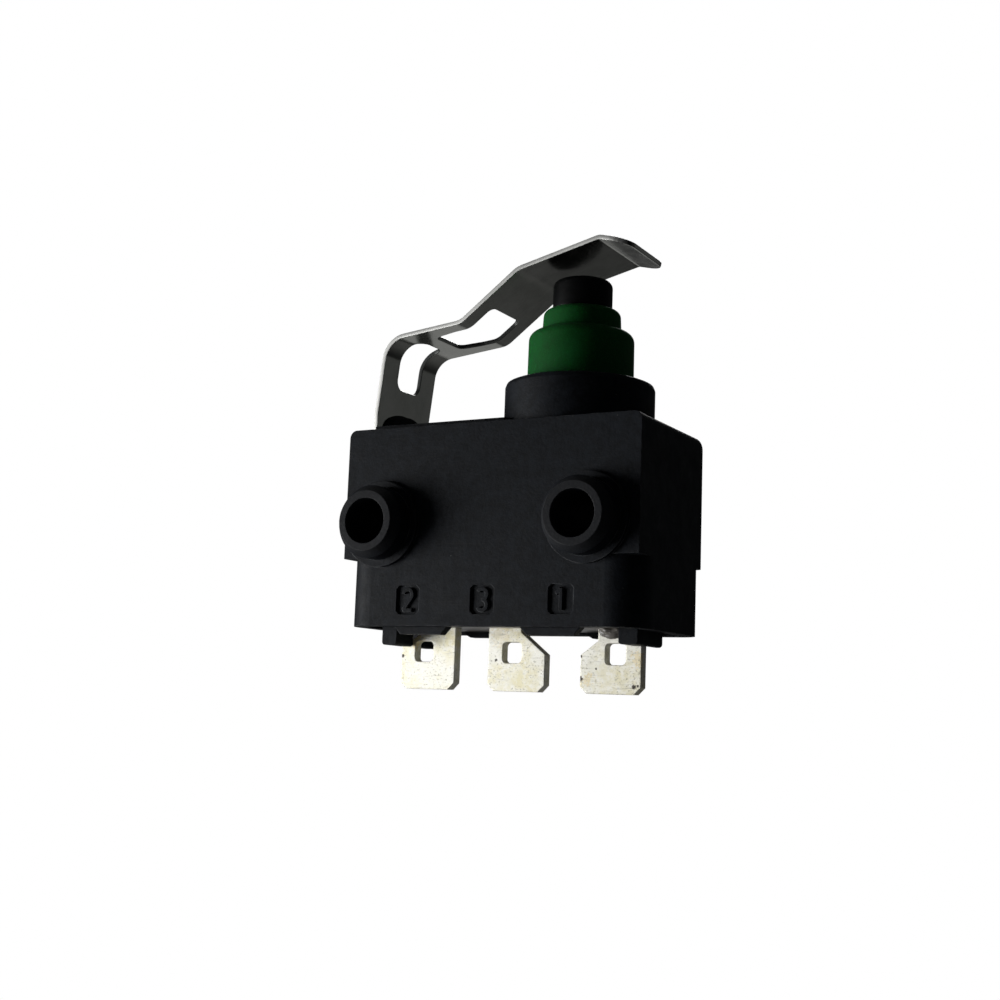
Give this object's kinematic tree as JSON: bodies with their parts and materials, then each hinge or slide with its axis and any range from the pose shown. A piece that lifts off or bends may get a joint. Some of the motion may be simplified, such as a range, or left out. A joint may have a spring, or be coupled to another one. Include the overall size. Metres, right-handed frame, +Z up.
{
  "type": "sealed micro switch",
  "caption": "Sealed subminiature snap-action switch with hollow mounting posts, rubber boot, bent sheet lever and solder tabs.",
  "frame": {"origin": "midpoint between the two mounting posts, on the front face of the body", "axes": "+X to the right along the line of the posts, +Y into the body from the front face, +Z up towards the lever"},
  "size_m": [0.0143, 0.0083, 0.0195],
  "materials": {
    "black_moulding": "fine moulded texture, black",
    "black_cap": "smooth satin black",
    "resin": "cast grey sealing resin",
    "green_silicone": "matte dark green",
    "spring_steel": "bright rolled sheet",
    "tinned_brass": "pale tin plating, scuffed",
    "contact_silver": "bright silver alloy",
    "copper_spring": "copper spring alloy"
  },
  "bodies": {
    "case": {"housing": "black_moulding", "base": "black_moulding", "sealing_resin": "resin", "plunger_guide": "black_moulding", "boot_clamp_ring": "spring_steel", "boot": "green_silicone", "terminal_1": "tinned_brass", "terminal_2": "tinned_brass", "terminal_3": "tinned_brass", "upper_contact": "contact_silver", "lower_contact": "contact_silver", "anchor_rivet": "tinned_brass", "bow_spring": "copper_spring"},
    "lever_arm": {"lever": "spring_steel"},
    "plunger_body": {"plunger": "black_cap"},
    "pusher_body": {"pusher": "black_cap", "overtravel_spring": "spring_steel"},
    "blade_body": {"snap_blade": "copper_spring", "moving_contact": "contact_silver"}
  },
  "joints": [
    {"name": "lever_pivot", "type": "hinge", "parent": "case", "child": "lever_arm", "pos_m": [-0.0065, 0.00345, 0.0035], "axis": [0, 1, 0], "range_deg": [0, 7.6]},
    {"name": "plunger_slide", "type": "slide", "parent": "case", "child": "plunger_body", "axis": [0, 0, -1], "range_m": [0, 0.001], "stiffness_N_per_m": 1000, "deforming": ["boot", "overtravel_spring"]},
    {"name": "pusher_slide", "type": "slide", "parent": "case", "child": "pusher_body", "axis": [0, 0, -1], "range_m": [0, 0.00006]},
    {"name": "blade_hinge", "type": "hinge", "parent": "case", "child": "blade_body", "pos_m": [0.00305, 0.00345, 0.001], "axis": [0, -1, 0], "range_deg": [0, 4], "deforming": ["bow_spring"]}
  ],
  "couplings": [
    {"joint": "lever_pivot", "follows": "plunger_slide", "rad_per_m": 132.64},
    {"joint": "pusher_slide", "follows": "plunger_slide", "ratio": 0.05999},
    {"joint": "blade_hinge", "follows": "plunger_slide", "rad_per_m": 69.81}
  ]
}
